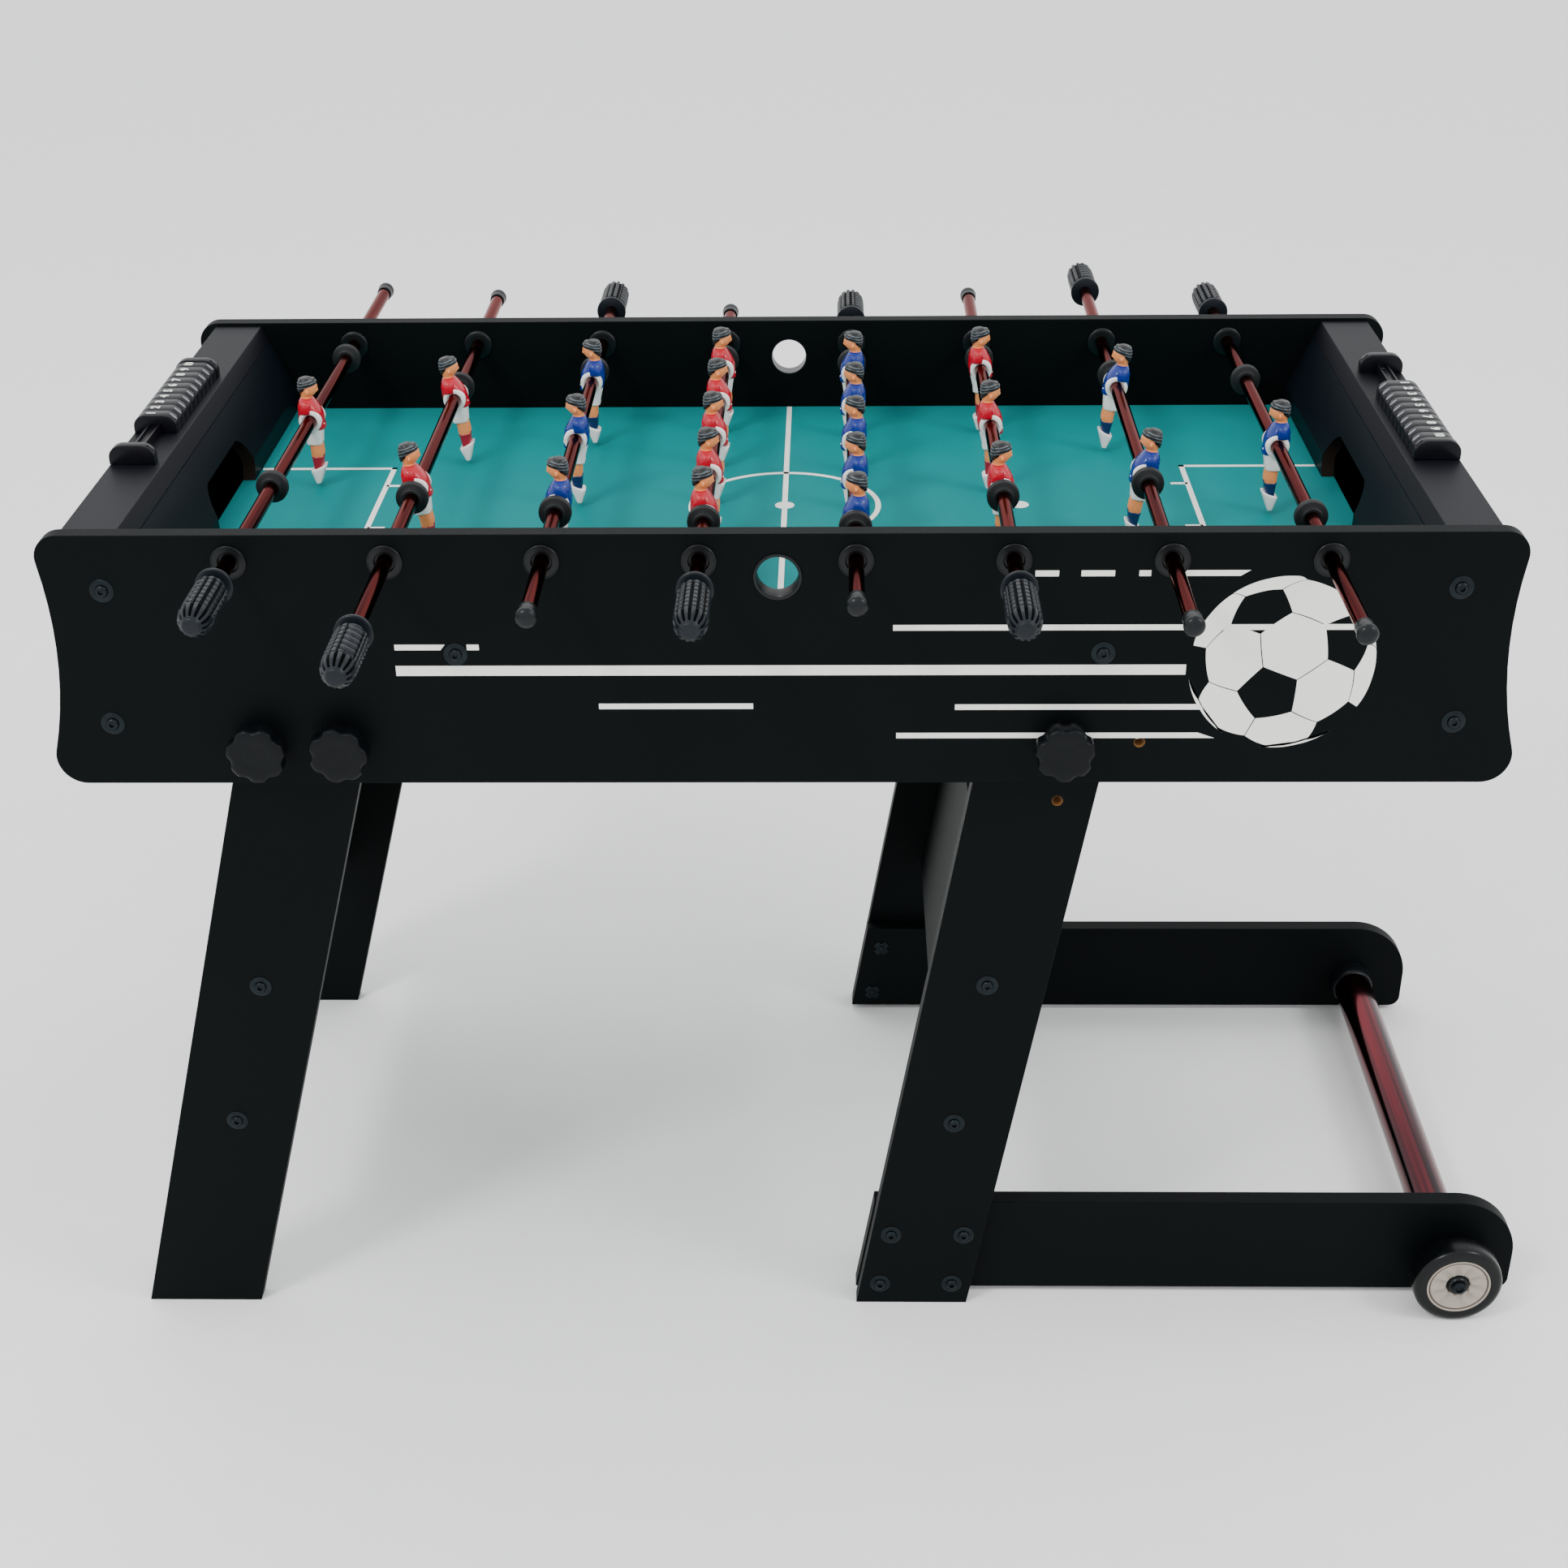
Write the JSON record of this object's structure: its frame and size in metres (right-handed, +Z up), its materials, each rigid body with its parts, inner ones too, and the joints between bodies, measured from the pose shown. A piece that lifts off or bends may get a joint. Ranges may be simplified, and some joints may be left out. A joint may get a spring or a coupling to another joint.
{
  "type": "foosball table",
  "caption": "Folding foosball table: a waisted black cabinet with sliding, spinning rods of players, sliding score counters and leaning legs that fold, one pair on a wheeled foot.",
  "frame": {"origin": "middle of the whole table's footprint, on the floor", "axes": "+X along the playfield towards the wheeled foot, +Y across it from the front side to the back, +Z up"},
  "size_m": [1.3402, 1.078, 0.8205],
  "materials": {
    "black_board": "satin black melamine on MDF",
    "raw_board": "raw",
    "field_green": "satin printed board",
    "rod_chrome": "polished",
    "black_steel": "black oxide",
    "bearing_plastic": "moulded",
    "ring_plastic": "moulded",
    "bumper_rubber": "moulded",
    "grip_plastic": "moulded",
    "red_player": "painted",
    "blue_player": "painted",
    "bead_plastic": "moulded",
    "knob_plastic": "moulded",
    "tube_chrome": "polished",
    "cup_plastic": "moulded",
    "wheel_tyre": "moulded"
  },
  "bodies": {
    "cabinet": {"side_panel_front": "black_board", "side_panel_back": "black_board", "end_panels": "black_board", "goal_walls": "black_board", "end_top_boards": "black_board", "ball_trays": "bearing_plastic", "playfield": "field_green", "inner_cleats": "raw_board", "cabinet_bolts": "black_steel", "rod_bearings": "bearing_plastic", "ball_entry_rings": "ring_plastic", "scorer_rails": "bead_plastic"},
    "left_counter": {"score_beads_left": "bead_plastic"},
    "right_counter": {"score_beads_right": "bead_plastic"},
    "left_leg_frame": {"left_legs": "black_board", "left_cross_panel": "black_board", "left_leg_bolts": "black_steel"},
    "right_leg_frame": {"right_legs": "black_board", "right_cross_panel": "black_board", "foot_beams": "black_board", "foot_tube": "tube_chrome", "tube_end_cups": "cup_plastic", "right_leg_bolts": "black_steel"},
    "front_wheel": {"wheel_front": "wheel_tyre"},
    "back_wheel": {"wheel_back": "wheel_tyre"},
    "left_pivot_knobs": {"knobs_left_pivot": "knob_plastic"},
    "left_lock_knobs": {"knobs_left_lock": "knob_plastic"},
    "right_pivot_knobs": {"knobs_right_pivot": "knob_plastic"},
    "rod_1_slider": {"rod_1_bumpers": "bumper_rubber"},
    "rod_1": {"rod_1_shaft": "rod_chrome", "rod_1_handle": "grip_plastic", "rod_1_players": "red_player"},
    "rod_2_slider": {"rod_2_bumpers": "bumper_rubber"},
    "rod_2": {"rod_2_shaft": "rod_chrome", "rod_2_handle": "grip_plastic", "rod_2_players": "red_player"},
    "rod_3_slider": {"rod_3_bumpers": "bumper_rubber"},
    "rod_3": {"rod_3_shaft": "rod_chrome", "rod_3_handle": "grip_plastic", "rod_3_players": "blue_player"},
    "rod_4_slider": {"rod_4_bumpers": "bumper_rubber"},
    "rod_4": {"rod_4_shaft": "rod_chrome", "rod_4_handle": "grip_plastic", "rod_4_players": "red_player"},
    "rod_5_slider": {"rod_5_bumpers": "bumper_rubber"},
    "rod_5": {"rod_5_shaft": "rod_chrome", "rod_5_handle": "grip_plastic", "rod_5_players": "blue_player"},
    "rod_6_slider": {"rod_6_bumpers": "bumper_rubber"},
    "rod_6": {"rod_6_shaft": "rod_chrome", "rod_6_handle": "grip_plastic", "rod_6_players": "red_player"},
    "rod_7_slider": {"rod_7_bumpers": "bumper_rubber"},
    "rod_7": {"rod_7_shaft": "rod_chrome", "rod_7_handle": "grip_plastic", "rod_7_players": "blue_player"},
    "rod_8_slider": {"rod_8_bumpers": "bumper_rubber"},
    "rod_8": {"rod_8_shaft": "rod_chrome", "rod_8_handle": "grip_plastic", "rod_8_players": "blue_player"}
  },
  "joints": [
    {"name": "left_counter_slide", "type": "slide", "parent": "cabinet", "child": "left_counter", "axis": [0, -1, 0], "range_m": [0, 0.0718]},
    {"name": "right_counter_slide", "type": "slide", "parent": "cabinet", "child": "right_counter", "axis": [0, 1, 0], "range_m": [0, 0.0718]},
    {"name": "left_legs_fold", "type": "hinge", "parent": "cabinet", "child": "left_leg_frame", "pos_m": [-0.47688, -0.0115, 0.62], "axis": [0, -1, 0], "range_deg": [0, 70]},
    {"name": "right_legs_fold", "type": "hinge", "parent": "cabinet", "child": "right_leg_frame", "pos_m": [0.19912, -0.0115, 0.62], "axis": [0, -1, 0], "range_deg": [0, 90]},
    {"name": "front_wheel_spin", "type": "hinge", "parent": "right_leg_frame", "child": "front_wheel", "pos_m": [0.60912, -0.3095, 0.0425], "axis": [0, 1, 0], "continuous": true},
    {"name": "back_wheel_spin", "type": "hinge", "parent": "right_leg_frame", "child": "back_wheel", "pos_m": [0.60912, 0.2865, 0.0425], "axis": [0, 1, 0], "continuous": true},
    {"name": "left_pivot_knobs_turn", "type": "hinge", "parent": "cabinet", "child": "left_pivot_knobs", "pos_m": [-0.47688, -0.0115, 0.62], "axis": [0, 1, 0], "continuous": true},
    {"name": "left_lock_knobs_turn", "type": "hinge", "parent": "cabinet", "child": "left_lock_knobs", "pos_m": [-0.40788, -0.0115, 0.62], "axis": [0, 1, 0], "continuous": true},
    {"name": "right_pivot_knobs_turn", "type": "hinge", "parent": "cabinet", "child": "right_pivot_knobs", "pos_m": [0.19912, -0.0115, 0.62], "axis": [0, 1, 0], "continuous": true},
    {"name": "rod_1_slide", "type": "slide", "parent": "cabinet", "child": "rod_1_slider", "axis": [0, 1, 0], "range_m": [-0.14995, 0.03395]},
    {"name": "rod_1_spin", "type": "hinge", "parent": "rod_1_slider", "child": "rod_1", "pos_m": [-0.48338, -0.0115, 0.782], "axis": [0, 1, 0], "continuous": true},
    {"name": "rod_2_slide", "type": "slide", "parent": "cabinet", "child": "rod_2_slider", "axis": [0, 1, 0], "range_m": [-0.12095, 0.12695]},
    {"name": "rod_2_spin", "type": "hinge", "parent": "rod_2_slider", "child": "rod_2", "pos_m": [-0.35638, -0.0115, 0.782], "axis": [0, 1, 0], "continuous": true},
    {"name": "rod_3_slide", "type": "slide", "parent": "cabinet", "child": "rod_3_slider", "axis": [0, 1, 0], "range_m": [-0.08495, 0.07895]},
    {"name": "rod_3_spin", "type": "hinge", "parent": "rod_3_slider", "child": "rod_3", "pos_m": [-0.22938, -0.0115, 0.782], "axis": [0, 1, 0], "continuous": true},
    {"name": "rod_4_slide", "type": "slide", "parent": "cabinet", "child": "rod_4_slider", "axis": [0, 1, 0], "range_m": [-0.06195, 0.04395]},
    {"name": "rod_4_spin", "type": "hinge", "parent": "rod_4_slider", "child": "rod_4", "pos_m": [-0.10238, -0.0115, 0.782], "axis": [0, 1, 0], "continuous": true},
    {"name": "rod_5_slide", "type": "slide", "parent": "cabinet", "child": "rod_5_slider", "axis": [0, 1, 0], "range_m": [-0.04795, 0.05795]},
    {"name": "rod_5_spin", "type": "hinge", "parent": "rod_5_slider", "child": "rod_5", "pos_m": [0.02462, -0.0115, 0.782], "axis": [0, 1, 0], "continuous": true},
    {"name": "rod_6_slide", "type": "slide", "parent": "cabinet", "child": "rod_6_slider", "axis": [0, 1, 0], "range_m": [-0.11995, 0.04395]},
    {"name": "rod_6_spin", "type": "hinge", "parent": "rod_6_slider", "child": "rod_6", "pos_m": [0.15162, -0.0115, 0.782], "axis": [0, 1, 0], "continuous": true},
    {"name": "rod_7_slide", "type": "slide", "parent": "cabinet", "child": "rod_7_slider", "axis": [0, 1, 0], "range_m": [-0.14995, 0.09795]},
    {"name": "rod_7_spin", "type": "hinge", "parent": "rod_7_slider", "child": "rod_7", "pos_m": [0.27862, -0.0115, 0.782], "axis": [0, 1, 0], "continuous": true},
    {"name": "rod_8_slide", "type": "slide", "parent": "cabinet", "child": "rod_8_slider", "axis": [0, 1, 0], "range_m": [-0.06995, 0.11395]},
    {"name": "rod_8_spin", "type": "hinge", "parent": "rod_8_slider", "child": "rod_8", "pos_m": [0.40562, -0.0115, 0.782], "axis": [0, 1, 0], "continuous": true}
  ]
}
